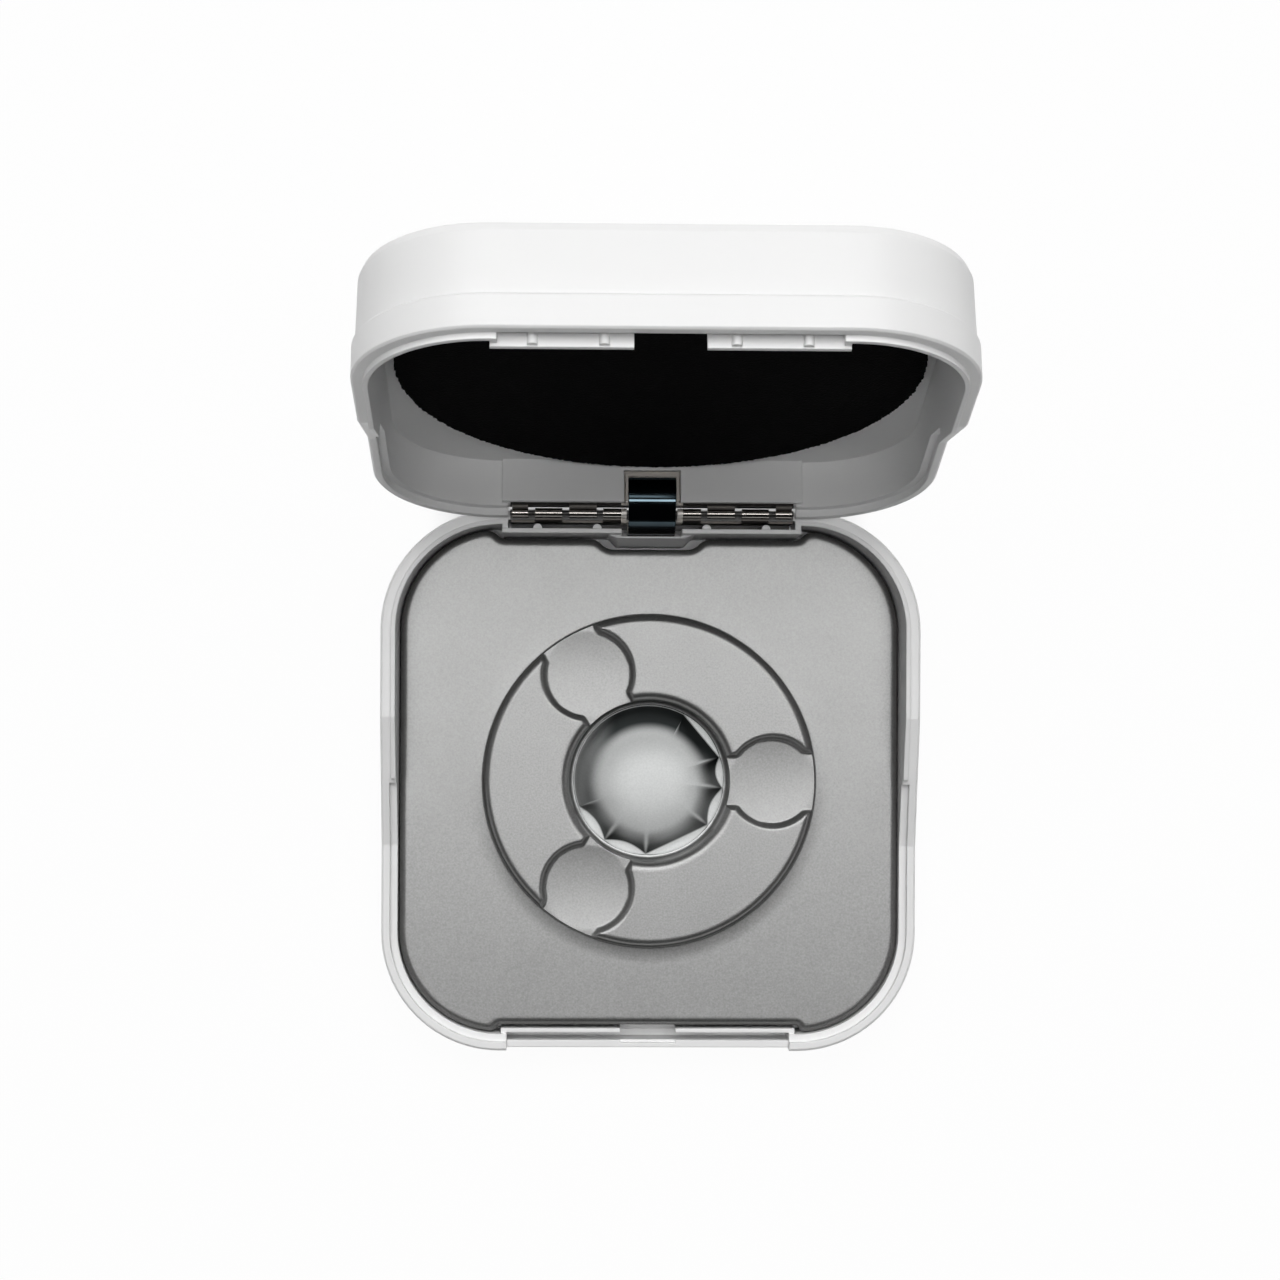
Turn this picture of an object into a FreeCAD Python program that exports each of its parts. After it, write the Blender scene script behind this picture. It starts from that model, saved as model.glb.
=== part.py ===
import FreeCAD, Part
import math
import os

# Hinged presentation case, modelled open as it stands on a table.
# Base and lid are the same moulding: the lid is the base turned over about X.
# Millimetres, +Z up, +Y to the hinge, origin under the middle of the base.

V = FreeCAD.Vector

# Case
WIDTH = 102.0                 # over the rim bands
DEPTH = 103.0                 # over the rim bands, front to hinge
CORNER_RADIUS = 22.6          # plan radius of the rim band
LOW_HEIGHT = 12.0             # ledge of the low half
HIGH_HEIGHT = 19.0            # ledge of the high half
RAMP_HALF_LENGTH = 12.3       # the ledge climbs this far either side of the middle
PARTING_GAP = 0.2             # between the two ledges when shut
OPEN_ANGLE = 108.0            # lid swing from shut to its stop

# Shell moulding
FLOOR = 1.6
DRAFT = 1.0                   # degrees, outside and inside
BOTTOM_ROUND = 2.0
BAND_HEIGHT = 6.0             # raised band below the ledge
BAND_PROUD = 0.45
BAND_EASE = 0.38              # both edges of the band
ROUND_STEPS = 2               # flats that stand for a moulded round
LEDGE_WIDTH = 1.6
LAP_CLEARANCE = 0.4           # tongue to the ledge wall around it
TONGUE_THICKNESS = 0.85
TONGUE_RISE = 1.1
LAP_DEPTH = 1.4               # inner lip below the ledge of the low half
TONGUE_END = 0.6              # tongue stops this far behind the middle
LIP_END = 0.3                 # lip starts this far before the middle

# Pockets for the hinge leaves, one in each end wall of a shell
POCKET_CORNER_GAP = 1.35      # pocket end to the start of the plan corner
POCKET_END_WALL = 1.1
POCKET_DEPTH = 9.5            # below the ledge
HIGH_POCKET_WALL = 1.95       # band face to pocket
HIGH_POCKET_GAP = 1.65
HIGH_STRIP = 0.85             # at its top
HIGH_STRIP_RISE = 1.7         # above the ledge
HIGH_STRIP_LEAN = 0.55        # its front comes forward by this down to the floor
HIGH_STRIP_GAP = 5.4          # half opening for the spring
LOW_POCKET_WALL = 1.8
LOW_POCKET_GAP = 1.45
LOW_STRIP = 0.8
LOW_STRIP_DROP = 2.0          # below the ledge
LOW_STRIP_GAP = 5.3
LOW_WINDOW_DEPTH = 6.3        # opening in the low strip, from its top
NOTCH_SEAT_WIDTH = 0.5        # step on the inside of the lowered outer wall
NOTCH_SEAT_DEPTH = 1.0
RIB_RADIUS = 0.83
RIB_CLEARANCE = 0.25          # to the leaf
RIB_PLACES = (0.381, 0.795)   # either side of the middle, share of the half pocket
RIB_SHORT = 0.3               # rib top below the strip top
APRON_HALF_WIDTH = 6.4        # spring housing, at its front face
APRON_SPLAY = 2.1
APRON_DROP = 2.5              # its top below the ledge
APRON_REACH = 0.75            # front of the strip, at its top
APRON_LEAN = 1.4              # more at its knee
APRON_KNEE = 6.0              # top to knee, upright below it
APRON_WALL = 0.7

# Hinge
AXIS_RISE = 1.03              # above the high ledge
AXIS_INSET = 0.70             # in from the band face
LEAF_THICKNESS = 0.45
LEAF_CLEARANCE = 0.05
LEAF_END_GAP = 0.45           # to the pocket end
LEAF_BEND = 0.5               # outside of the bend into a knuckle
KNUCKLE_RADIUS = 0.92
KNUCKLE_CLEARANCE = 0.25
PIN_RADIUS = 0.45
PIN_CLEARANCE = 0.05
PIN_PROUD = 0.1               # past the leaf ends
BASE_KNUCKLES = ((0.18, 0.346), (0.635, 0.827))     # from and to, shares of the half leaf
LID_KNUCKLES = ((0.391, 0.586), (0.876, 0.989))

# Snap spring and its saddle
SPRING_WIDTH = 8.9
SPRING_THICKNESS = 0.35
SPRING_RADIUS = 6.5
SPRING_BACK = 2.6             # arc centre behind the hinge axis
SPRING_DROP = 4.53            # arc centre below the hinge axis
SPRING_REACH = 4.0            # tip behind the arc centre
SPRING_FOOT = 3.95            # foot below the arc centre
SEAT_CLEARANCE = 0.05
SHELF_OVERLAP = 0.05          # shelf past the spring foot
SADDLE_DEPTH = 1.7            # out of the lid leaf
SADDLE_FOOT = 1.2             # above the hinge axis when shut

# Formed tray
SHEET = 0.6
TRAY_HEIGHT = 10.2            # flat of the tray
TRAY_GAP = 0.4                # to the wall at the floor
TRAY_STRIP_GAP = 0.5          # to the pocket strips
TRAY_EDGE_EASE = 1.2
TRAY_PLAN_ROUND = 1.5
TRAY_NOTCH_HALF = 8.4         # around the spring housing
TRAY_NOTCH_GAP = 0.85
RING_RADIUS = 32.2
RING_RISE = 2.0
RING_ROUND = 1.2
HUB_RADIUS = 15.5
HUB_DEPTH = 6.6               # below the ring
DOME_GAP = 1.3                # dome foot to the hub wall
DOME_RISE = 2.2
DOME_STEPS = 2                # flats from its foot to its top
WELL_COUNT = 3
WELL_RIM = 0.45               # left between a well and the outside of the ring
WELL_BREAK = 0.55             # a well runs this far into the hub
WELL_RISE = 0.5               # well floor above the flat
WELL_FLARE_LIFT = 0.06        # mouth round runs out this far above the ring

# Lid pad
PAD_SIDE_GAP = 1.85           # to the side walls at the floor
PAD_THICKNESS = 2.0
FILM_THICKNESS = 0.15
FILM_INSET = 0.6
PAD_FLAT_GAP = 0.5            # to the spring housing, and at least this to the low strip

# Places that follow from the sizes above
HALF_DEPTH = DEPTH / 2
TONGUE_INSET = LEDGE_WIDTH + LAP_CLEARANCE
WALL = TONGUE_INSET + TONGUE_THICKNESS
TOP = HIGH_HEIGHT + TONGUE_RISE
SLOPE = math.tan(math.radians(DRAFT))
SHUT_LEVEL = LOW_HEIGHT + HIGH_HEIGHT + PARTING_GAP
AXIS_Y = HALF_DEPTH - AXIS_INSET
AXIS_Z = HIGH_HEIGHT + AXIS_RISE
NOTCH_DEPTH = 2 * AXIS_RISE
FAR = WIDTH + DEPTH

HIGH_WALL_FACE = HALF_DEPTH - HIGH_POCKET_WALL
HIGH_STRIP_BACK = HIGH_WALL_FACE - HIGH_POCKET_GAP
HIGH_STRIP_FACE = HIGH_STRIP_BACK - HIGH_STRIP
HIGH_STRIP_FOOT = HIGH_STRIP_FACE - HIGH_STRIP_LEAN
HIGH_STRIP_TOP = HIGH_HEIGHT + HIGH_STRIP_RISE
LOW_WALL_FACE = HALF_DEPTH - LOW_POCKET_WALL
LOW_STRIP_BACK = LOW_WALL_FACE - LOW_POCKET_GAP
LOW_STRIP_FACE = LOW_STRIP_BACK - LOW_STRIP
HIGH_POCKET_FLOOR = HIGH_HEIGHT - POCKET_DEPTH
LOW_POCKET_FLOOR = LOW_HEIGHT - POCKET_DEPTH
POCKET_HALF_LENGTH = WIDTH / 2 - CORNER_RADIUS - POCKET_CORNER_GAP
BLOCK_HALF_LENGTH = POCKET_HALF_LENGTH + POCKET_END_WALL
LEAF_HALF_LENGTH = POCKET_HALF_LENGTH - LEAF_END_GAP
PIN_HALF_LENGTH = LEAF_HALF_LENGTH + PIN_PROUD

SPRING_Y = AXIS_Y + SPRING_BACK
SPRING_Z = AXIS_Z - SPRING_DROP
SPRING_FACE = SPRING_Y - SPRING_RADIUS - SPRING_THICKNESS / 2
SPRING_FOOT_Z = SPRING_Z - SPRING_FOOT
SHELF_TOP = SPRING_FOOT_Z - SEAT_CLEARANCE
SHELF_FRONT = SPRING_FACE - SHELF_OVERLAP
APRON_TOP = HIGH_HEIGHT - APRON_DROP
APRON_TOP_FACE = HIGH_STRIP_FACE - APRON_REACH
APRON_KNEE_FACE = APRON_TOP_FACE - APRON_LEAN
APRON_ROOM_FLOOR = SHELF_TOP - LEAF_THICKNESS - SEAT_CLEARANCE

FLOOR_INSET = WALL + (HIGH_HEIGHT - FLOOR) * SLOPE
DOME_RADIUS = HUB_RADIUS - DOME_GAP
WELL_OUTER = RING_RADIUS - WELL_RIM
WELL_INNER = HUB_RADIUS - WELL_BREAK
WELL_RADIUS = (WELL_OUTER - WELL_INNER) / 2
WELL_CENTRE = (WELL_OUTER + WELL_INNER) / 2
PAD_RADIUS = WIDTH / 2 - FLOOR_INSET - PAD_SIDE_GAP


def box(x0, x1, y0, y1, z0, z1):
    """Block between two corners."""
    return Part.makeBox(x1 - x0, y1 - y0, z1 - z0, V(x0, y0, z0))


def plan_wire(inset, z):
    """Rounded rectangle, in from the band face."""
    hx = WIDTH / 2 - inset
    hy = HALF_DEPTH - inset
    r = CORNER_RADIUS - inset
    k = r * math.sqrt(0.5)
    cx = hx - r
    cy = hy - r
    edges = []
    for sx, sy in ((1, -1), (1, 1), (-1, 1), (-1, -1)):
        side = V(sx * hx, sy * cy, z)
        middle = V(sx * (cx + k), sy * (cy + k), z)
        end = V(sx * cx, sy * hy, z)
        run = (side, middle, end) if sx * sy > 0 else (end, middle, side)
        if edges:
            edges.append(Part.makeLine(edges[-1].lastVertex(True).Point, run[0]))
        edges.append(Part.Arc(*run).toShape())
    edges.append(Part.makeLine(edges[-1].lastVertex(True).Point, edges[0].firstVertex(True).Point))
    return Part.Wire(edges)


def plan_block(inset, z0, z1):
    """Straight block on the rounded plan."""
    return Part.Face(plan_wire(inset, z0)).extrude(V(0, 0, z1 - z0))


def draft_inset(inset, z):
    """Inset at a height, for a drafted wall whose inset is given at the high ledge."""
    return inset + (HIGH_HEIGHT - z) * SLOPE


def drafted_block(inset, z0, z1):
    """Block on the rounded plan with drafted sides."""
    levels = [plan_wire(draft_inset(inset, z), z) for z in (z0, z1)]
    return Part.makeLoft(levels, True, True)


def footed_block(inset, z1):
    """Drafted block with its bottom edge rolled in by a few flats."""
    levels = []
    for step in range(ROUND_STEPS + 1):
        angle = math.pi / 2 * step / ROUND_STEPS
        z = BOTTOM_ROUND * (1 - math.cos(angle))
        roll = BOTTOM_ROUND * (1 - math.sin(angle))
        levels.append(plan_wire(draft_inset(inset, z) + roll, z))
    levels.append(plan_wire(draft_inset(inset, z1), z1))
    return Part.makeLoft(levels, True, True)


def above_ledge(rise):
    """Everything above the ledge line, raised by the given amount."""
    points = (
        (FAR, HIGH_HEIGHT + rise),
        (RAMP_HALF_LENGTH, HIGH_HEIGHT + rise),
        (-RAMP_HALF_LENGTH, LOW_HEIGHT + rise),
        (-FAR, LOW_HEIGHT + rise),
        (-FAR, FAR),
        (FAR, FAR),
    )
    corners = [V(-WIDTH, y, z) for y, z in points]
    outline = Part.makePolygon(corners + corners[:1])
    return Part.Face(outline).extrude(V(2 * WIDTH, 0, 0))


def plan_depth(point):
    """How deep a point lies inside the plan of the band."""
    dx = abs(point.x) - (WIDTH / 2 - CORNER_RADIUS)
    dy = abs(point.y) - (HALF_DEPTH - CORNER_RADIUS)
    return CORNER_RADIUS - math.hypot(max(dx, 0), max(dy, 0)) - min(max(dx, dy), 0)


def rim_band():
    """Proud band that follows the ledge, with both outer edges eased."""
    ring = plan_block(0, 0, FAR).cut(plan_block(BAND_PROUD + BAND_EASE, 0, FAR))
    band = ring.common(above_ledge(-BAND_HEIGHT)).cut(above_ledge(0))
    outer = []
    for edge in band.Edges:
        middle = edge.valueAt((edge.FirstParameter + edge.LastParameter) / 2)
        upright = edge.BoundBox.ZLength > BAND_HEIGHT / 2 and edge.BoundBox.YLength < BAND_EASE
        if plan_depth(middle) < BAND_EASE / 2 and not upright:
            outer.append(edge)
    return band.makeChamfer(BAND_EASE, outer)


def walled_tub():
    """Floor and walls with the lap joint along the rim: tongue behind, recessed lip in front."""
    tub = footed_block(BAND_PROUD, TOP).cut(drafted_block(WALL, FLOOR, TOP + FLOOR))
    above = above_ledge(0)
    front = box(-FAR, FAR, -FAR, TONGUE_END, -FAR, FAR)
    lap_front = box(-FAR, FAR, -FAR, -LIP_END, -FAR, FAR)
    lap = plan_block(LEDGE_WIDTH, 0, FAR).common(above_ledge(-LAP_DEPTH)).common(lap_front)
    tub = tub.cut(above_ledge(TONGUE_RISE))
    tub = tub.cut(above.cut(plan_block(TONGUE_INSET, 0, FAR)))
    tub = tub.cut(above.common(front))
    return tub.fuse(rim_band()).cut(lap)


def bar(x0, x1, outline):
    """Straight bar along X from a YZ outline."""
    ring = [V(x0, y, z) for y, z in outline]
    return Part.Face(Part.makePolygon(ring + ring[:1])).extrude(V(x1 - x0, 0, 0))


def high_pocket(shell):
    """Pocket behind a tall ribbed strip, with the housing for the spring foot in its middle."""
    n = BLOCK_HALF_LENGTH
    p = POCKET_HALF_LENGTH
    g = HIGH_STRIP_GAP
    low = FLOOR / 2
    block = box(-n, n, HIGH_STRIP_BACK, HALF_DEPTH, low, TOP)
    strip = bar(-n, n, ((HIGH_STRIP_FOOT, low), (HIGH_STRIP_FACE, HIGH_STRIP_TOP),
                        (HIGH_STRIP_BACK, HIGH_STRIP_TOP), (HIGH_STRIP_BACK, low)))
    shell = shell.fuse(block.common(plan_block(TONGUE_INSET, 0, FAR)))
    shell = shell.fuse(strip).fuse(spring_apron())
    shell = shell.cut(box(-p, p, HIGH_STRIP_BACK, HIGH_WALL_FACE, HIGH_POCKET_FLOOR, FAR))
    shell = shell.cut(box(-p, p, HIGH_STRIP_BACK, HALF_DEPTH, HIGH_HEIGHT, FAR))
    shell = shell.cut(box(-g, g, APRON_TOP_FACE, HIGH_STRIP_BACK, APRON_TOP, FAR))
    room = APRON_HALF_WIDTH - APRON_WALL
    room_face = SHELF_FRONT - SEAT_CLEARANCE
    shell = shell.cut(box(-room, room, room_face, HIGH_STRIP_BACK, APRON_ROOM_FLOOR, FAR))
    proud = HIGH_POCKET_GAP - LEAF_THICKNESS - LEAF_CLEARANCE - RIB_CLEARANCE
    rib_y = HIGH_STRIP_BACK + proud - RIB_RADIUS
    rib_top = HIGH_STRIP_TOP - RIB_SHORT
    height = rib_top - HIGH_POCKET_FLOOR
    ribs = []
    for share in RIB_PLACES:
        place = share * POCKET_HALF_LENGTH
        for x in (-place, place):
            ribs.append(Part.makeCylinder(RIB_RADIUS, height, V(x, rib_y, HIGH_POCKET_FLOOR)))
            ribs.append(box(x - RIB_RADIUS, x + RIB_RADIUS, HIGH_STRIP_BACK, rib_y,
                            HIGH_POCKET_FLOOR, rib_top))
    return shell.fuse(ribs)


def spring_apron():
    """Trapezoid housing in front of the strip gap, leaning out to its knee and upright below."""
    back = APRON_HALF_WIDTH + APRON_SPLAY
    front = APRON_HALF_WIDTH
    rings = []
    for face, z in ((APRON_KNEE_FACE, FLOOR / 2), (APRON_KNEE_FACE, APRON_TOP - APRON_KNEE),
                    (APRON_TOP_FACE, APRON_TOP)):
        corners = [V(-back, HIGH_STRIP_BACK, z), V(-back, HIGH_STRIP_FACE, z), V(-front, face, z),
                   V(front, face, z), V(back, HIGH_STRIP_FACE, z), V(back, HIGH_STRIP_BACK, z)]
        rings.append(Part.makePolygon(corners + corners[:1]))
    return Part.makeLoft(rings, True, True)


def low_pocket(shell):
    """Pocket behind a low strip, under a notched outer wall."""
    n = BLOCK_HALF_LENGTH
    p = POCKET_HALF_LENGTH
    g = LOW_STRIP_GAP
    strip_top = LOW_HEIGHT - LOW_STRIP_DROP
    notch = LOW_HEIGHT - NOTCH_DEPTH
    body_face = HALF_DEPTH - BAND_PROUD
    shell = shell.fuse(box(-n, n, -HALF_DEPTH + LEDGE_WIDTH, -LOW_STRIP_FACE, FLOOR / 2, strip_top))
    shell = shell.cut(box(-p, p, -LOW_WALL_FACE, -LOW_STRIP_BACK, LOW_POCKET_FLOOR, FAR))
    shell = shell.cut(box(-p, p, -FAR, -LOW_STRIP_BACK, notch, FAR))
    shell = shell.cut(box(-p, p, -FAR, -body_face, LOW_HEIGHT - BAND_HEIGHT - BAND_EASE, FAR))
    shell = shell.cut(box(-g, g, -LOW_STRIP_BACK, -LOW_STRIP_FACE, strip_top - LOW_WINDOW_DEPTH, FAR))
    return shell.cut(box(-g, g, -LOW_WALL_FACE - NOTCH_SEAT_WIDTH, -LOW_WALL_FACE,
                         notch - NOTCH_SEAT_DEPTH, FAR))


def case_shell():
    """One moulding, used for the base and for the lid."""
    return low_pocket(high_pocket(walled_tub())).removeSplitter()


def shut_lid(shape):
    """Turn a piece of the shell over onto the base."""
    over = shape.copy()
    over.rotate(V(0, 0, SHUT_LEVEL / 2), V(1, 0, 0), 180)
    return over


def swing_open(shape):
    """Swing a piece of the shut lid to its stop."""
    swung = shape.copy()
    swung.rotate(V(0, AXIS_Y, AXIS_Z), V(1, 0, 0), -OPEN_ANGLE)
    return swung


def hinge_leaf(plate_face, foot, knuckles):
    """Leaf below the axis: a plate whose tabs bend over into rolled knuckles. It lies behind its face."""
    n = LEAF_HALF_LENGTH
    back = plate_face + LEAF_THICKNESS
    bottom = AXIS_Z - KNUCKLE_RADIUS
    top = bottom + LEAF_THICKNESS
    bend = arc_points(plate_face + LEAF_BEND, top - LEAF_BEND, LEAF_BEND, 180, 90, ROUND_STEPS)
    tab = [(back, foot), (plate_face, foot)] + bend + [(AXIS_Y, top), (AXIS_Y, bottom), (back, bottom)]
    leaf = box(-n, n, plate_face, back, foot, bottom - KNUCKLE_CLEARANCE)
    bores = []
    for inner, outer in knuckles:
        length = (outer - inner) * n
        for x in (inner * n, -outer * n):
            start = V(x, AXIS_Y, AXIS_Z)
            leaf = leaf.fuse(bar(x, x + length, tab))
            leaf = leaf.fuse(Part.makeCylinder(KNUCKLE_RADIUS, length, start, V(1, 0, 0)))
            bores.append(Part.makeCylinder(PIN_RADIUS + PIN_CLEARANCE, length, start, V(1, 0, 0)))
    return leaf.cut(bores).removeSplitter()


def base_leaf():
    """Leaf in the high pocket of the base, with the shelf that carries the spring foot."""
    face = HIGH_WALL_FACE - LEAF_CLEARANCE - LEAF_THICKNESS
    leaf = hinge_leaf(face, HIGH_POCKET_FLOOR + SEAT_CLEARANCE, BASE_KNUCKLES)
    half = SPRING_WIDTH / 2
    shelf = box(-half, half, SHELF_FRONT, face, SHELF_TOP - LEAF_THICKNESS, SHELF_TOP)
    return leaf.fuse(shelf).removeSplitter()


def lid_leaf():
    """Leaf in the low pocket of the lid, with the saddle round the spring tip, shut."""
    face = LOW_WALL_FACE - LEAF_CLEARANCE - LEAF_THICKNESS
    reach = SHUT_LEVEL - LOW_POCKET_FLOOR - SEAT_CLEARANCE
    leaf = hinge_leaf(face, 2 * AXIS_Z - reach, LID_KNUCKLES)
    leaf.rotate(V(0, AXIS_Y, AXIS_Z), V(0, 1, 0), 180)
    half = SPRING_WIDTH / 2 + 2 * SEAT_CLEARANCE
    outer = half + LEAF_THICKNESS
    tip = tip_when_shut()
    cross = AXIS_Z + tip + SEAT_CLEARANCE
    foot = AXIS_Z + SADDLE_FOOT
    saddle = box(-outer, outer, face - SADDLE_DEPTH, face, foot, cross + LEAF_THICKNESS)
    saddle = saddle.cut(box(-half, half, face - FAR, face, foot - FAR, cross))
    return leaf.fuse(saddle).removeSplitter()


def tip_when_shut():
    """Height over the axis that the tip of the open spring has on the shut lid."""
    angle = math.radians(OPEN_ANGLE)
    outer = SPRING_RADIUS + SPRING_THICKNESS / 2
    start = math.acos(SPRING_REACH / SPRING_RADIUS)
    y = SPRING_BACK + outer * math.cos(start)
    z = -SPRING_DROP + outer * math.sin(start)
    return y * math.sin(angle) + z * math.cos(angle)


def snap_spring():
    """Flat strip bent over the knuckles, from the saddle down to the shelf."""
    outer = SPRING_RADIUS + SPRING_THICKNESS / 2
    inner = SPRING_RADIUS - SPRING_THICKNESS / 2
    start = math.acos(SPRING_REACH / SPRING_RADIUS)
    half_way = (start + math.pi) / 2

    def on_arc(radius, angle):
        return V(-SPRING_WIDTH / 2, SPRING_Y + radius * math.cos(angle), SPRING_Z + radius * math.sin(angle))

    foot_outer = on_arc(outer, math.pi) - V(0, 0, SPRING_FOOT)
    foot_inner = on_arc(inner, math.pi) - V(0, 0, SPRING_FOOT)
    edges = [
        Part.Arc(on_arc(outer, start), on_arc(outer, half_way), on_arc(outer, math.pi)).toShape(),
        Part.makeLine(on_arc(outer, math.pi), foot_outer),
        Part.makeLine(foot_outer, foot_inner),
        Part.makeLine(foot_inner, on_arc(inner, math.pi)),
        Part.Arc(on_arc(inner, math.pi), on_arc(inner, half_way), on_arc(inner, start)).toShape(),
        Part.makeLine(on_arc(inner, start), on_arc(outer, start)),
    ]
    return Part.Face(Part.Wire(edges)).extrude(V(SPRING_WIDTH, 0, 0))


def tray_plan():
    """Outline of the tray on the floor, cut back round the pockets and the spring housing."""
    block = plan_block(FLOOR_INSET + TRAY_GAP, FLOOR, TRAY_HEIGHT)
    half = BLOCK_HALF_LENGTH + TRAY_STRIP_GAP
    high_face = HIGH_STRIP_FOOT - TRAY_STRIP_GAP
    low_face = LOW_STRIP_FACE - TRAY_STRIP_GAP
    notch_face = APRON_KNEE_FACE - TRAY_NOTCH_GAP
    for n, face, side in ((half, high_face, 1), (half, low_face, -1), (TRAY_NOTCH_HALF, notch_face, 1)):
        near = side * face
        far = side * (face + DEPTH)
        ring = [V(-n, near, 0), V(n, near, 0), V(n + DEPTH, far, 0), V(-n - DEPTH, far, 0)]
        cutter = Part.Face(Part.makePolygon(ring + ring[:1])).extrude(V(0, 0, TOP))
        block = block.cut(cutter)
    block = block.removeSplitter()
    upright = []
    for edge in block.Edges:
        if edge.BoundBox.ZLength > SHEET and not smooth_corner(edge, block):
            upright.append(edge)
    block = block.makeFillet(TRAY_PLAN_ROUND, upright)
    floor_face = min(block.Faces, key=lambda f: f.CenterOfMass.z)
    return floor_face.OuterWire


def smooth_corner(edge, solid):
    """True for an upright edge between two faces that run on in the same direction."""
    faces = [f for f in solid.Faces if any(e.isSame(edge) for e in f.Edges)]
    normals = []
    for face in faces:
        u, v = face.Surface.parameter(edge.CenterOfMass)
        normals.append(face.normalAt(u, v))
    return abs(normals[0].dot(normals[1])) > math.cos(math.radians(DRAFT))


def tray_form(outline, depth):
    """Solid under the tray's top surface, that surface sunk by the given depth."""
    plan = outline.makeOffset2D(-depth) if depth else outline
    flat = TRAY_HEIGHT - depth
    block = Part.Face(plan).extrude(V(0, 0, flat - FLOOR))
    rim = [e for e in block.Edges if e.BoundBox.ZMin > flat - SHEET / 10]
    block = block.makeChamfer(TRAY_EDGE_EASE - depth * (2 - math.sqrt(2)), rim)
    core_hole = (RING_RADIUS + HUB_RADIUS) / 2
    block = block.cut(Part.makeCylinder(core_hole, TOP, V(0, 0, 0)))
    return block.fuse(ring_core(depth)).removeSplitter().cut(well_cutters(depth))


def arc_points(x, z, radius, start, end, steps):
    """Points of an arc in the XZ plane, angles in degrees from +X towards +Z; one point if it is sharp."""
    if not radius:
        return [(x, z)]
    points = []
    for step in range(steps + 1):
        angle = math.radians(start + (end - start) * step / steps)
        points.append((x + radius * math.cos(angle), z + radius * math.sin(angle)))
    return points


def turned(points):
    """Solid turned about Z from an XZ outline."""
    ring = [V(x, 0, z) for x, z in points]
    return Part.Face(Part.makePolygon(ring + ring[:1])).revolve(V(0, 0, 0), V(0, 0, 1), 360)


def ring_core(depth):
    """Turned middle of the tray: raised ring, hub cup and the dome on the cup's floor."""
    outer = RING_RADIUS - depth
    inner = HUB_RADIUS + depth
    top = TRAY_HEIGHT + RING_RISE - depth
    r = 0 if depth else RING_ROUND
    cup = TRAY_HEIGHT + RING_RISE - HUB_DEPTH - depth
    sphere = (DOME_RADIUS ** 2 + DOME_RISE ** 2) / (2 * DOME_RISE)
    half = math.degrees(math.asin(DOME_RADIUS / sphere))
    points = [(0, FLOOR), (outer, FLOOR)]
    points += arc_points(outer - r, top - r, r, 0, 90, ROUND_STEPS)
    points += arc_points(inner + r, top - r, r, 90, 180, ROUND_STEPS)
    points += [(inner, cup)]
    crown = arc_points(0, cup + DOME_RISE - sphere, sphere, 90 - half, 90, DOME_STEPS)[:-1]
    points += crown + [(0, crown[-1][1])]
    return turned(points)


def well_cutters(depth):
    """Finger wells in the ring, with a flared mouth that rounds the edges they cut."""
    radius = WELL_RADIUS + depth
    floor = TRAY_HEIGHT + WELL_RISE - depth
    top = TRAY_HEIGHT + RING_RISE - depth + WELL_FLARE_LIFT
    r = 0 if depth else RING_ROUND
    points = [(0, floor), (radius, floor)]
    points += arc_points(radius + r, top - r, r, 180, 90, ROUND_STEPS)
    points += [(radius + r, TOP), (0, TOP)]
    cutter = turned(points)
    cutters = []
    for i in range(WELL_COUNT):
        well = cutter.copy()
        well.translate(V(WELL_CENTRE, 0, 0))
        well.rotate(V(0, 0, 0), V(0, 0, 1), i * 360 / WELL_COUNT)
        cutters.append(well)
    return cutters


def formed_tray():
    """Thin sheet between the tray's top surface and the same surface one sheet lower."""
    outline = tray_plan()
    return tray_form(outline, 0).cut(tray_form(outline, SHEET))


def pad_disc(radius, thickness, z):
    """Disc on the lid floor, cut flat beside the spring housing."""
    disc = Part.makeCylinder(radius, thickness, V(0, 0, z))
    return disc.common(box(-FAR, FAR, PAD_FLAT_GAP - LOW_STRIP_FACE, APRON_KNEE_FACE - PAD_FLAT_GAP, -FAR, FAR))


shell = case_shell()
pin = Part.makeCylinder(PIN_RADIUS, 2 * PIN_HALF_LENGTH, V(-PIN_HALF_LENGTH, AXIS_Y, AXIS_Z), V(1, 0, 0))
film = pad_disc(PAD_RADIUS - FILM_INSET, FILM_THICKNESS, FLOOR)
pad = pad_disc(PAD_RADIUS, PAD_THICKNESS, FLOOR + FILM_THICKNESS)

pieces = {
    "base_shell": shell,
    "formed_tray": formed_tray(),
    "hinge_leaf_base": base_leaf(),
    "hinge_pin": pin,
    "snap_spring": snap_spring(),
    "lid_shell": swing_open(shut_lid(shell)),
    "hinge_leaf_lid": swing_open(lid_leaf()),
    "adhesive_film": swing_open(shut_lid(film)),
    "foam_pad": swing_open(shut_lid(pad)),
}

os.makedirs("parts", exist_ok=True)
for name, piece in pieces.items():
    piece.exportStep("parts/" + name + ".step")
    print(name, len(piece.Solids), piece.isValid(), round(piece.Volume, 2))
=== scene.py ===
import bmesh
import bpy
import math
import random
from mathutils import Matrix, Vector


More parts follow.
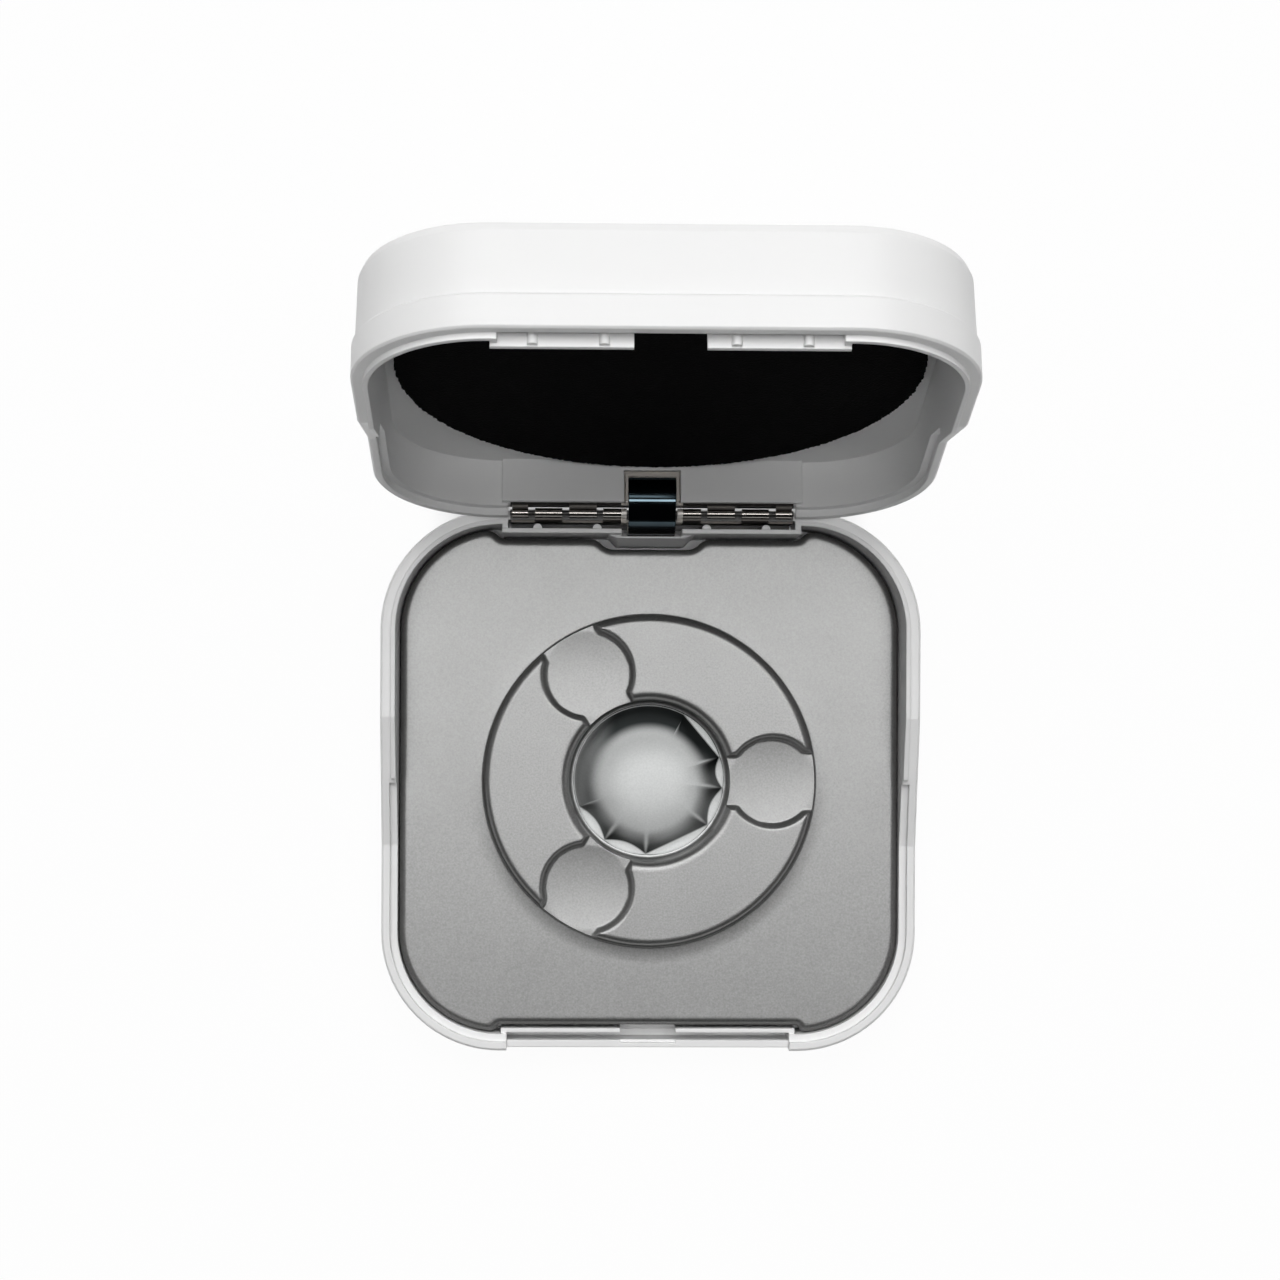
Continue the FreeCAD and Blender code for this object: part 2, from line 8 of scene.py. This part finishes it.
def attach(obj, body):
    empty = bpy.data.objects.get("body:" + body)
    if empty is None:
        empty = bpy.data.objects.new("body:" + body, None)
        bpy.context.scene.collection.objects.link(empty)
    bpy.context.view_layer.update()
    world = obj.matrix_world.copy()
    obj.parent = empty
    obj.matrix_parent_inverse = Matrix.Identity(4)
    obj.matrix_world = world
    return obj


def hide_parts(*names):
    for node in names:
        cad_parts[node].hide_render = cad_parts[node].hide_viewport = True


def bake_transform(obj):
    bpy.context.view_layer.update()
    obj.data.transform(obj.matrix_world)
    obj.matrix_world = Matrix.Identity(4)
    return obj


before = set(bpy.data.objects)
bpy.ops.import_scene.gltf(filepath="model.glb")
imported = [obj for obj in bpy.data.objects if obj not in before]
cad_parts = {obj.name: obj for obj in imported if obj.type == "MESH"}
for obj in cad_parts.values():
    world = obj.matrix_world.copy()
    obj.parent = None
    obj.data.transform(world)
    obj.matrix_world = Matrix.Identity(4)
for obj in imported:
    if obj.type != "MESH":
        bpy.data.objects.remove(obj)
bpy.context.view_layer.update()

# The base and the lid are one moulding in white polystyrene, satin from the eroded face of the tool.
# The lid is the base turned over, so both carry one finish: a fine grain and slight sheen changes.
# Close to the pin and in the slot before the base leaf the plastic is painted near black, a painted shade for
# the deep hinge pocket.
MM = 0.001
AXIS_Y = 50.8
AXIS_Z = 20.03
LEAF_HALF = 26.7
SLOT_Y = 48.6
SLOT_HALF = 0.65


class Value:
    """A socket in a finish; arithmetic on it adds Math nodes."""

    def __init__(self, finish, socket):
        self.finish = finish
        self.socket = socket

    def __add__(self, other):
        return self.finish.math("ADD", self, other)

    def __radd__(self, other):
        return self.finish.math("ADD", other, self)

    def __sub__(self, other):
        return self.finish.math("SUBTRACT", self, other)

    def __rsub__(self, other):
        return self.finish.math("SUBTRACT", other, self)

    def __mul__(self, other):
        return self.finish.math("MULTIPLY", self, other)

    def __rmul__(self, other):
        return self.finish.math("MULTIPLY", other, self)


class Finish:
    """A procedural material that ends in one Principled shader."""

    def __init__(self, name):
        self.material = bpy.data.materials.new(name)
        self.material.use_nodes = True
        self.tree = self.material.node_tree
        self.shader = self.tree.nodes["Principled BSDF"]
        self.place = self.node("ShaderNodeTexCoord", {}, {}, "Object")

    def put(self, target, sockets):
        for key, value in sockets.items():
            if isinstance(value, Value):
                self.tree.links.new(value.socket, target.inputs[key])
            else:
                target.inputs[key].default_value = value

    def node(self, kind, settings, sockets, output=0):
        made = self.tree.nodes.new(kind)
        for key, value in settings.items():
            setattr(made, key, value)
        self.put(made, sockets)
        return Value(self, made.outputs[output])

    def math(self, operation, a, b=0.0):
        return self.node("ShaderNodeMath", {"operation": operation}, {0: a, 1: b})

    def axis(self, letter):
        """One coordinate of the point, in millimetres."""
        return self.node("ShaderNodeSeparateXYZ", {}, {0: self.place}, letter) * 1000

    def off(self, letter, middle=0.0):
        """Distance of one coordinate from a middle, in millimetres."""
        return self.math("ABSOLUTE", self.axis(letter) - middle)

    def from_pin(self):
        """Distance from the hinge axis, in millimetres."""
        where = self.node("ShaderNodeMapping", {},
                          {"Vector": self.place, "Location": (0, -AXIS_Y, -AXIS_Z), "Scale": (0, 1000, 1000)})
        return self.node("ShaderNodeVectorMath", {"operation": "LENGTH"}, {0: where}, "Value")

    def noise(self, scale, detail=2.0, stretch=(1, 1, 1)):
        where = self.node("ShaderNodeMapping", {}, {"Vector": self.place, "Scale": stretch})
        return self.node("ShaderNodeTexNoise", {}, {"Vector": where, "Scale": scale, "Detail": detail})

    def between(self, factor, low, high):
        return self.node("ShaderNodeMapRange", {}, {"Value": factor, "To Min": low, "To Max": high})

    def ease(self, value, start, end, kind="SMOOTHSTEP"):
        """A step from 0 where the value is start to 1 where it is end."""
        return self.node("ShaderNodeMapRange", {"interpolation_type": kind},
                         {"Value": value, "From Min": start, "From Max": end})

    def tint(self, factor, first, second):
        return self.node("ShaderNodeMix", {"data_type": "RGBA"}, {0: factor, 6: first, 7: second}, 2)

    def soft_edge(self, radius):
        return self.node("ShaderNodeBevel", {"samples": 8}, {"Radius": radius * MM})

    def bump(self, height, strength, distance, normal=None):
        sockets = {"Height": height, "Strength": strength, "Distance": distance}
        if normal:
            sockets["Normal"] = normal
        return self.node("ShaderNodeBump", {}, sockets)

    def shade(self, **sockets):
        self.put(self.shader, {key.replace("_", " "): value for key, value in sockets.items()})
        return self.material


white = Finish("white_satin_plastic")
grain = white.noise(5200, 3)
haze = white.noise(45, 4)
rub = white.noise(240, 3, (1, 0.16, 1))
near_pin = white.ease(white.from_pin(), 2.1, 1.3)
in_slot = white.math("LESS_THAN", white.off("Y", SLOT_Y), SLOT_HALF)
# Painted shade: near black close to the pin and in the slot before the base leaf.
pin_shade = white.math("MAXIMUM", near_pin, in_slot * white.ease(white.axis("Z"), 20.2, 19.4))
along_pin = white.math("LESS_THAN", white.off("X"), LEAF_HALF)
plastic = white.tint(haze, (0.855, 0.855, 0.852, 1), (0.878, 0.878, 0.877, 1))
shell_finish = white.shade(
    Base_Color=white.tint(pin_shade * along_pin, plastic, (0.022, 0.020, 0.018, 1)),
    Roughness=white.between(haze * 0.5 + rub * 0.5, 0.34, 0.50),
    Normal=white.bump(grain, 0.18, 0.00002, white.soft_edge(0.3)),
    IOR=1.53,
)


def dress(name, material):
    """Give a CAD node its material."""
    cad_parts[name].data.materials.clear()
    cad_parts[name].data.materials.append(material)


dress("base_shell", shell_finish)
dress("lid_shell", shell_finish)

# The tray is a sheet formed over a tool and coated in satin silver, standing on the base floor.
# Its raised ring has three finger wells, and a film in the hub is drawn over a soft dome in pleats.
SHEET = 0.6
CORNER_X = 28.4
CORNER_Y = 28.9
CORNER_RADIUS = 19.4
STRIP_END = 28.65
FRONT_EDGE = -46.93
REAR_EDGE = 46.4
NOTCH_EDGE = 44.45
NOTCH_WIDE = 10.35
NOTCH_NARROW = 8.4
EDGE_ROLL = 1.5
SKIRT = 8.6
SKIRT_TAPER = 0.988
FLAT = 10.2
RING_TOP = 12.2
HUB_FLOOR = 5.6
HUB_RADIUS = 15.5
RING_RADIUS = 31.75
RING_DRAFT = 0.2
FIELD_RADIUS = 35.0
TURNS = 540
WELL_FLOOR = 10.7
WELL_DISH = 0.3
WELL_RADIUS = 8.1
WELL_CENTRE = 23.6
WELL_WALL = 1.5
THROAT_INNER = 4.6
THROAT_OUTER = 5.6
THROAT_START = 5.0
THROAT_END = 10.5
PLEATS = (-159, -126, -92, -37, -6, 18, 62)
DOME_RISE = 2.2
DOME_FOOT = 14.4
SHORT_SPAN = 40
SAG = 0.07
CREASE_RISE = 0.22
CREASE_WIDTH = 0.35


def outline_face(bm, corners, z):
    """A flat face from the right half of an outline of (x, y, round) corners."""
    half = [bm.verts.new((x * MM, y * MM, z * MM)) for x, y, size in corners]
    rest = [bm.verts.new((-x * MM, y * MM, z * MM)) for x, y, size in reversed(corners)]
    bm.faces.new(half + rest)
    sizes = [size for x, y, size in corners]
    rounds = list(zip(half + rest, sizes + sizes[::-1]))
    for vertex, size in rounds:
        if size:
            bmesh.ops.bevel(bm, geom=[vertex], offset=size * MM, segments=6, profile=0.5, affect="VERTICES",
                            material=-1)


def corner_arc(y, start, end):
    """Points round one plan corner of the tray, angles in degrees, its sharp end rounded."""
    points = []
    for step in range(17):
        angle = start + (end - start) * step / 16
        points.append((CORNER_X + CORNER_RADIUS * math.cos(math.radians(angle)),
                       y + CORNER_RADIUS * math.sin(math.radians(angle)),
                       1.5 if angle > 83 else 0.9 if angle < -83 else 0))
    return points


def well_height(x, y):
    """Height of the finger wells' surface; each well opens through a throat at both its ends."""
    gap = RING_RADIUS
    dish = 0
    for turn in range(3):
        angle = math.radians(120 * turn)
        along = x * math.cos(angle) + y * math.sin(angle) - WELL_CENTRE
        across = abs(y * math.cos(angle) - x * math.sin(angle))
        gap = min(gap, math.hypot(along, across) - WELL_RADIUS)
        dish = max(dish, WELL_DISH * (1 - (along ** 2 + across ** 2) / WELL_RADIUS ** 2))
        if THROAT_START < abs(along) < THROAT_END:
            gap = min(gap, across - (THROAT_OUTER if along > 0 else THROAT_INNER))
    climb = min(max(gap / WELL_WALL, 0), 1)
    return WELL_FLOOR - dish + (RING_TOP + 0.05 - WELL_FLOOR) * (1 - (1 - climb) ** 3)


def film_share(x, y):
    """How far out a point of the hub lies, 1 at the film's edge, and how far it is from a pleat.

    The edge is straight or sags inwards between two pleats, and is round elsewhere.
    """
    angle = math.degrees(math.atan2(y, x))
    radius = math.hypot(x, y)
    for before, after in zip(PLEATS, PLEATS[1:]):
        if before <= angle < after:
            half = math.radians(after - before) / 2
            off = math.radians(angle - (after + before) / 2)
            sag = SAG * (1 - (off / half) ** 2) if after - before < SHORT_SPAN else 0
            foot = DOME_FOOT * math.cos(half) / math.cos(off) * (1 - sag)
            outward = min(max((radius / DOME_FOOT - 0.45) / 0.4, 0), 1)
            foot = DOME_FOOT + (foot - DOME_FOOT) * outward
            fold = math.radians(min(angle - before, after - angle)) * radius
            return radius / foot, fold
    return radius / DOME_FOOT, DOME_FOOT


def dome_height(share, fold):
    """Height of the film above the hub floor: a low dome with a crease at each pleat."""
    crease = CREASE_RISE * math.exp(-(fold / CREASE_WIDTH) ** 2) * min(max((share - 0.72) / 0.2, 0), 1)
    return (DOME_RISE + crease) * (1 - min(share, 1) ** 2.6)


bm = bmesh.new()
corners = ([(STRIP_END, FRONT_EDGE, 0.4)] + corner_arc(-CORNER_Y, -86.3, 0) + corner_arc(CORNER_Y, 0, 83.72)
           + [(STRIP_END, REAR_EDGE, 0.66), (NOTCH_WIDE, REAR_EDGE, 1.2),
              (NOTCH_NARROW, NOTCH_EDGE, 1.2)])
outline_face(bm, corners, FLAT)
rim = bm.edges[:]
skirt = bmesh.ops.extrude_edge_only(bm, edges=rim)["geom"]
foot = [v for v in skirt if isinstance(v, bmesh.types.BMVert)]
bmesh.ops.translate(bm, verts=foot, vec=(0, 0, -SKIRT * MM))
bmesh.ops.scale(bm, verts=foot, vec=(SKIRT_TAPER, SKIRT_TAPER, 1))
rim = [e for e in bm.edges if all(abs(v.co.z - FLAT * MM) < 1e-6 for v in e.verts)]
bmesh.ops.bevel(bm, geom=rim, offset=EDGE_ROLL * MM, segments=8, profile=0.5, affect="EDGES", material=-1)
top = max(bm.faces, key=lambda f: f.calc_area())
bmesh.ops.inset_region(bm, faces=[top], thickness=0.4 * MM)
top = max(bm.faces, key=lambda f: f.calc_area())
bmesh.ops.delete(bm, geom=[top], context="FACES_ONLY")

profile = [(0, HUB_FLOOR), (HUB_RADIUS - 0.3, HUB_FLOOR), (HUB_RADIUS, RING_TOP),
           (RING_RADIUS - RING_DRAFT, RING_TOP), (RING_RADIUS, FLAT), (FIELD_RADIUS, FLAT)]
stations = [bm.verts.new((r * MM, 0, z * MM)) for r, z in profile]
line = [bm.edges.new(pair) for pair in zip(stations, stations[1:])]
bmesh.ops.spin(bm, geom=stations + line, axis=(0, 0, 1), cent=(0, 0, 0), steps=TURNS, angle=2 * math.pi,
               use_merge=True)
bmesh.ops.remove_doubles(bm, verts=bm.verts, dist=1e-6)


def ring_edges(radius, z):
    """The circle of edges at a radius and height."""
    return [e for e in bm.edges
            if all(abs(v.co.xy.length - radius * MM) < 1e-6 and abs(v.co.z - z * MM) < 1e-6 for v in e.verts)]


def radial_edges(inner, outer):
    """The edges that run outwards between two radii."""
    found = []
    for e in bm.edges:
        radii = sorted(v.co.xy.length / MM for v in e.verts)
        if inner - 0.01 < radii[0] and radii[1] < outer + 0.01 and radii[1] - radii[0] > 0.5:
            found.append(e)
    return found


for radius, level, size, steps in ((HUB_RADIUS, RING_TOP, 1.6, 8), (RING_RADIUS - RING_DRAFT, RING_TOP, 1.3, 8),
                                   (RING_RADIUS, FLAT, 0.4, 4)):
    bmesh.ops.bevel(bm, geom=ring_edges(radius, level), offset=size * MM, segments=steps, profile=0.5,
                    affect="EDGES", material=-1)
for inner, outer, cuts in ((HUB_RADIUS + 1.5, RING_RADIUS - 1.4, 42), (0, HUB_RADIUS - 0.2, 18)):
    bmesh.ops.subdivide_edges(bm, edges=radial_edges(inner, outer), cuts=cuts, use_grid_fill=True)
film_edge = bm.verts.layers.float.new("film_edge")
film_rim_shade = bm.verts.layers.float.new("film_rim_shade")
film_shade = bm.verts.layers.float.new("film_shade")
for v in bm.verts:
    x, y = v.co.x / MM, v.co.y / MM
    radius = math.hypot(x, y)
    if radius < HUB_RADIUS - 0.4:
        reach, fold = film_share(x, y)
        v.co.z = (HUB_FLOOR + dome_height(reach, fold)) * MM
        pleat = math.exp(-(fold / 0.4) ** 2) * min(max((reach - 0.68) * 5, 0), 1)
        v[film_edge] = reach
        # These two values place the film's painted shade: it grows towards the rim and the rear and beside each
        # pleat.
        v[film_rim_shade] = radius + 0.07 * max(y, 0) + 0.05 * min(y, 0) - 2.4 * pleat
        v[film_shade] = radius + 0.37 * max(y, 0) + 0.25 * min(y, 0) - 0.28 * max(x, 0)
    elif radius < RING_RADIUS + 0.5:
        v.co.z = min(v.co.z, well_height(x, y) * MM)
open_edges = [e for e in bm.edges
              if e.is_boundary and all(abs(v.co.z - FLAT * MM) < 1e-6 for v in e.verts)]
bmesh.ops.triangle_fill(bm, edges=open_edges, use_beauty=True, normal=(0, 0, 1))
bmesh.ops.recalc_face_normals(bm, faces=bm.faces)
tray_mesh = bpy.data.meshes.new("tray_sheet")
bm.to_mesh(tray_mesh)
bm.free()
tray_mesh.polygons.foreach_set("use_smooth", [True] * len(tray_mesh.polygons))
tray = bpy.data.objects.new("tray_sheet", tray_mesh)
bpy.context.collection.objects.link(tray)
thick = tray.modifiers.new("sheet", "SOLIDIFY")
thick.thickness = SHEET * MM
thick.offset = -1

silver = Finish("satin_silver_sheet")
speck = silver.noise(2800, 2)
cloud = silver.noise(120, 3)
away = silver.node("ShaderNodeVectorMath", {"operation": "LENGTH"},
                   {0: silver.node("ShaderNodeVectorMath", {"operation": "MULTIPLY"},
                                   {0: silver.place, 1: (1000, 1000, 0)})}, "Value")
in_hub = silver.ease(away, 15.2, 14.4)
plain = silver.tint(cloud * 0.15 + speck * 0.85, (0.176, 0.176, 0.174, 1), (0.370, 0.370, 0.368, 1))
# The film's colour is painted near black towards its rim and rear and between the pleats, less on the left:
# painted shade.
edge, rim_shade_reach, shade = [silver.node("ShaderNodeAttribute", {"attribute_name": name}, {}, "Fac")
                      for name in ("film_edge", "film_rim_shade", "film_shade")]
directional_shade = silver.ease(shade, 3.0, 12.0)
past_edge = silver.ease(edge, 0.985, 1.01, "LINEAR")
rim_shade_band = silver.ease(rim_shade_reach, 8.8, 12.2)
leftward = silver.ease(silver.axis("X"), -6.0, -13.5)
painted_film_shade = (directional_shade * 0.4 + rim_shade_band * 0.6) * (1 - past_edge) * (1 - leftward * 0.25)
pearl = silver.tint(speck, (0.64, 0.655, 0.65, 1), (0.82, 0.835, 0.83, 1))
film_colour_and_shade = silver.tint(painted_film_shade, pearl, (0.012, 0.014, 0.014, 1))
# Past the film's edge, within a millimetre of the hub wall, the floor is painted dark grey: painted shade at
# the wall's foot.
by_wall = silver.ease(away, 14.0, 15.0)
hub_colour_and_wall_shade = silver.tint(by_wall * past_edge, film_colour_and_shade, (0.22, 0.23, 0.23, 1))
tray_mesh.materials.append(silver.shade(
    Base_Color=silver.tint(in_hub, plain, hub_colour_and_wall_shade),
    Metallic=0.85 - in_hub * 0.73 + in_hub * rim_shade_band * (1 - past_edge) * 0.8,
    Roughness=silver.between(speck, 0.30, 0.43),
    Normal=silver.bump(speck, 0.3, 0.00003),
))
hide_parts("formed_tray")
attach(tray, "base")

# The hinge leaves are stamped and rolled from nickel-plated strip and push into the shells' pockets.
# A drawn steel pin holds their knuckles; its brightness is broken by draw marks along its length.
nickel = Finish("nickel_plate")
drawn = nickel.noise(900, 3, (0.1, 1, 1))
spots = nickel.noise(2600, 2)
# The saddle is painted a lighter nickel, a painted highlight for the light its face catches; it is also
# rougher.
saddle = nickel.math("LESS_THAN", nickel.off("X"), 5.8)
# Leaf metal beyond the knuckles' radius is painted near black, a painted shade for the dark pockets; it is also
# rougher.
off_knuckle = nickel.math("GREATER_THAN", nickel.from_pin(), 0.95)
polished = nickel.tint(drawn, (0.30, 0.28, 0.26, 1), (0.46, 0.435, 0.41, 1))
leaf_colour_with_plate_shade = nickel.tint(off_knuckle, polished, (0.075, 0.07, 0.065, 1))
leaf_finish = nickel.shade(
    Base_Color=nickel.tint(saddle, leaf_colour_with_plate_shade, (0.80, 0.77, 0.73, 1)),
    Metallic=1.0,
    Roughness=nickel.between(drawn * 0.7 + spots * 0.3, 0.08, 0.22) + saddle * 0.4 + off_knuckle * 0.3,
    Normal=nickel.bump(drawn * 0.6 + spots * 0.4, 0.15, 0.00003),
)
dress("hinge_leaf_base", leaf_finish)
dress("hinge_leaf_lid", leaf_finish)
steel = Finish("drawn_steel")
streak = steel.noise(1500, 3, (0.06, 1, 1))
dress("hinge_pin", steel.shade(
    Base_Color=steel.tint(streak, (0.07, 0.068, 0.066, 1), (0.13, 0.127, 0.124, 1)),
    Metallic=1.0,
    Roughness=steel.between(streak, 0.20, 0.42),
    Normal=steel.bump(streak, 0.2, 0.00002),
))

# The snap spring is a blued steel strip bent over the knuckles, its foot on the base leaf's shelf.
# Its tip presses in the lid leaf's saddle; the strip is built in one shape, in the open pose.
SPRING_WIDTH = 8.9
SPRING_THICKNESS = 0.35
SPRING_RADIUS = 6.5
SPRING_Y = 53.4
SPRING_Z = 15.5
SPRING_FOOT = 3.95
SPRING_REACH = 4.0
bm = bmesh.new()
half = SPRING_WIDTH / 2
near = SPRING_Y - SPRING_RADIUS - SPRING_THICKNESS / 2
section = [bm.verts.new((x * MM, y * MM, (SPRING_Z - SPRING_FOOT) * MM))
           for x, y in ((-half, near), (half, near), (half, near + SPRING_THICKNESS),
                        (-half, near + SPRING_THICKNESS))]
foot = bm.faces.new(section)
bmesh.ops.bevel(bm, geom=list(foot.verts), offset=0.1 * MM, segments=3, profile=0.5, affect="VERTICES",
                material=-1)
foot = bm.faces[:][0]
rise = bmesh.ops.extrude_face_region(bm, geom=[foot], use_keep_orig=True)["geom"]
bmesh.ops.translate(bm, verts=[g for g in rise if isinstance(g, bmesh.types.BMVert)],
                    vec=(0, 0, SPRING_FOOT * MM))
end = [g for g in rise if isinstance(g, bmesh.types.BMFace)]
tip_angle = math.pi - math.acos(SPRING_REACH / SPRING_RADIUS)
bmesh.ops.spin(bm, geom=end, axis=(-1, 0, 0), cent=(0, SPRING_Y * MM, SPRING_Z * MM), steps=40,
               angle=tip_angle)
bmesh.ops.remove_doubles(bm, verts=bm.verts, dist=1e-6)
inside = [f for f in bm.faces if all(not e.is_boundary and len(e.link_faces) > 2 for e in f.edges)]
bmesh.ops.delete(bm, geom=inside, context="FACES_ONLY")
bmesh.ops.recalc_face_normals(bm, faces=bm.faces)
spring_mesh = bpy.data.meshes.new("snap_strip")
bm.to_mesh(spring_mesh)
bm.free()
spring = bpy.data.objects.new("snap_strip", spring_mesh)
bpy.context.collection.objects.link(spring)
blued = Finish("blued_spring_steel")
roll = blued.noise(1400, 3, (0.05, 1, 1))
heat = blued.noise(260, 2)
# Below about 19 mm up the strip is painted near black: painted shade over its lower part in place of its
# reflection.
upper_strip = blued.ease(blued.axis("Z"), 19.2, 21.1)
temper = blued.tint(heat, (0.034, 0.050, 0.060, 1), (0.062, 0.086, 0.098, 1))
spring_mesh.materials.append(blued.shade(
    Base_Color=blued.tint(upper_strip, (0.008, 0.010, 0.012, 1), temper),
    Metallic=1.0,
    Roughness=blued.between(roll * 0.6 + heat * 0.4, 0.06, 0.14),
    Normal=blued.bump(roll, 0.12, 0.00002),
))
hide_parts("snap_spring")
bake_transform(spring)

# A round black foam pad lines the lid, die-cut so its rim is slightly ragged.
# A clear double-sided film glues it to the lid floor, cut flat beside the spring housing.
PAD_RADIUS = 46.0
PAD_BACK = 1.75
PAD_FACE = 3.75
PAD_FLAT = 44.4
PAD_RAGGED = 0.45
SHUT_LEVEL = 31.2
OPEN_ANGLE = 108.0
random.seed(7)
bm = bmesh.new()
bmesh.ops.create_circle(bm, cap_ends=True, radius=PAD_RADIUS * MM, segments=900)
bmesh.ops.translate(bm, verts=bm.verts, vec=(0, 0, PAD_BACK * MM))
thicken = bmesh.ops.extrude_face_region(bm, geom=bm.faces[:], use_keep_orig=True)["geom"]
bmesh.ops.translate(bm, verts=[g for g in thicken if isinstance(g, bmesh.types.BMVert)],
                    vec=(0, 0, (PAD_FACE - PAD_BACK) * MM))
for v in bm.verts:
    v.co.xy *= 1 - random.random() * PAD_RAGGED / PAD_RADIUS
cut = bmesh.ops.bisect_plane(bm, geom=bm.verts[:] + bm.edges[:] + bm.faces[:],
                             plane_co=(0, PAD_FLAT * MM, 0), plane_no=(0, 1, 0), clear_outer=True)["geom_cut"]
bmesh.ops.edgeloop_fill(bm, edges=[g for g in cut if isinstance(g, bmesh.types.BMEdge)])
bmesh.ops.recalc_face_normals(bm, faces=bm.faces)
hinge_line = Matrix.Translation((0, AXIS_Y * MM, AXIS_Z * MM))
middle = Matrix.Translation((0, 0, SHUT_LEVEL / 2 * MM))
opened = (hinge_line @ Matrix.Rotation(math.radians(-OPEN_ANGLE), 4, "X") @ hinge_line.inverted()
          @ middle @ Matrix.Rotation(math.pi, 4, "X") @ middle.inverted())
bmesh.ops.transform(bm, matrix=opened, verts=bm.verts)
pad_mesh = bpy.data.meshes.new("foam_disc")
bm.to_mesh(pad_mesh)
bm.free()
pad = bpy.data.objects.new("foam_disc", pad_mesh)
bpy.context.collection.objects.link(pad)
foam = Finish("black_foam")
cells = foam.node("ShaderNodeTexVoronoi", {}, {"Vector": foam.place, "Scale": 2600})
lint = foam.noise(1800, 2)
pad_mesh.materials.append(foam.shade(
    Base_Color=foam.tint(cells * lint, (0.0008, 0.0008, 0.0009, 1), (0.004, 0.004, 0.0045, 1)),
    Roughness=foam.between(lint, 0.92, 1.0),
    Normal=foam.bump(cells, 0.6, 0.0002),
    Specular_IOR_Level=0.05,
))
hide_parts("foam_pad")
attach(pad, "lid")
film = Finish("clear_adhesive_film")
wet = film.noise(700, 3)
dress("adhesive_film", film.shade(
    Base_Color=film.tint(wet, (0.62, 0.60, 0.54, 1), (0.72, 0.70, 0.65, 1)),
    Roughness=film.between(wet, 0.15, 0.35),
    Normal=film.bump(wet, 0.2, 0.00005),
))

# The stage: a paper floor swept up into a low wall, white to the camera but keeping the case's shadow.
# A large soft light hangs above and behind the hinge, a strip light overhead and a faint one at each side.
FLOOR_RADIUS = 4
WALL_HEIGHT = 1.1
bm = bmesh.new()
bmesh.ops.create_circle(bm, cap_ends=True, radius=FLOOR_RADIUS, segments=96)
sweep_foot = bm.edges[:]
sweep = bmesh.ops.extrude_edge_only(bm, edges=sweep_foot)["geom"]
bmesh.ops.translate(bm, verts=[g for g in sweep if isinstance(g, bmesh.types.BMVert)],
                    vec=(0, 0, WALL_HEIGHT))
bmesh.ops.bevel(bm, geom=sweep_foot, offset=0.5, segments=8, profile=0.5, affect="EDGES", material=-1)
floor_mesh = bpy.data.meshes.new("floor")
bm.to_mesh(floor_mesh)
bm.free()
floor_mesh.polygons.foreach_set("use_smooth", [True] * len(floor_mesh.polygons))
floor = bpy.data.objects.new("floor", floor_mesh)
bpy.context.collection.objects.link(floor)
paper = Finish("white_paper")
fibre = paper.noise(60, 3)
paper.shade(Base_Color=paper.tint(fibre, (0.80, 0.80, 0.80, 1), (0.84, 0.84, 0.84, 1)), Roughness=0.9)
seen = 0
for kind in ("Is Camera Ray", "Is Glossy Ray", "Is Transmission Ray"):
    seen = seen + paper.node("ShaderNodeLightPath", {}, {}, kind)
under_hinge = paper.ease(paper.off("X"), 44, 28) * paper.ease(paper.off("Y", 40), 24, 13.5)
glow = paper.node("ShaderNodeEmission", {}, {"Color": (1, 1, 1, 1), "Strength": 1.0})
lit = Value(paper, paper.shader.outputs[0])
blend = paper.node("ShaderNodeMixShader", {}, {0: seen * 0.96 * (1 - under_hinge), 1: lit, 2: glow})
paper.tree.links.new(blend.socket, paper.tree.nodes["Material Output"].inputs["Surface"])
floor_mesh.materials.append(paper.material)

room = bpy.data.worlds.new("room")
room.use_nodes = True
room.node_tree.nodes["Background"].inputs["Color"].default_value = (1, 1, 1, 1)
room.node_tree.nodes["Background"].inputs["Strength"].default_value = 0.01
bpy.context.scene.world = room


def soft_light(name, place, aim, size, power):
    """A rectangular area light that faces a point."""
    lamp = bpy.data.lights.new(name, "AREA")
    lamp.shape = "RECTANGLE"
    lamp.size, lamp.size_y = size
    lamp.energy = power
    holder = bpy.data.objects.new(name, lamp)
    holder.location = place
    holder.rotation_euler = (Vector(place) - Vector(aim)).to_track_quat("Z", "Y").to_euler()
    bpy.context.collection.objects.link(holder)


soft_light("softbox_behind", (0, 0.95, 1.7), (0, 0, 0), (2.0, 1.2), 30.5)
soft_light("strip_above", (0, 0.03, 1.9), (0, 0, 0), (1.6, 0.2), 8.2)
for side in (-1, 1):
    soft_light("softbox_side", (1.5 * side, 0.3, 1.0), (0, 0, 0), (1.2, 1.2), 0.8)

FOCAL_PX = 2925.5
PHOTO_PX = 1280
SENSOR = 36
lens = bpy.data.cameras.new("camera")
lens.sensor_width = SENSOR
lens.lens = FOCAL_PX / PHOTO_PX * SENSOR
viewer = bpy.data.objects.new("camera", lens)
bpy.context.collection.objects.link(viewer)
tilt = (Matrix.Rotation(math.radians(-0.298), 4, "Z") @ Matrix.Rotation(math.radians(1.443), 4, "Y")
        @ Matrix.Rotation(math.radians(-0.075), 4, "X"))
viewer.matrix_world = Matrix.Translation((-0.016008, 0.026264, 0.570693)) @ tilt.transposed()
bpy.context.scene.camera = viewer
bpy.context.scene.view_settings.view_transform = "Standard"
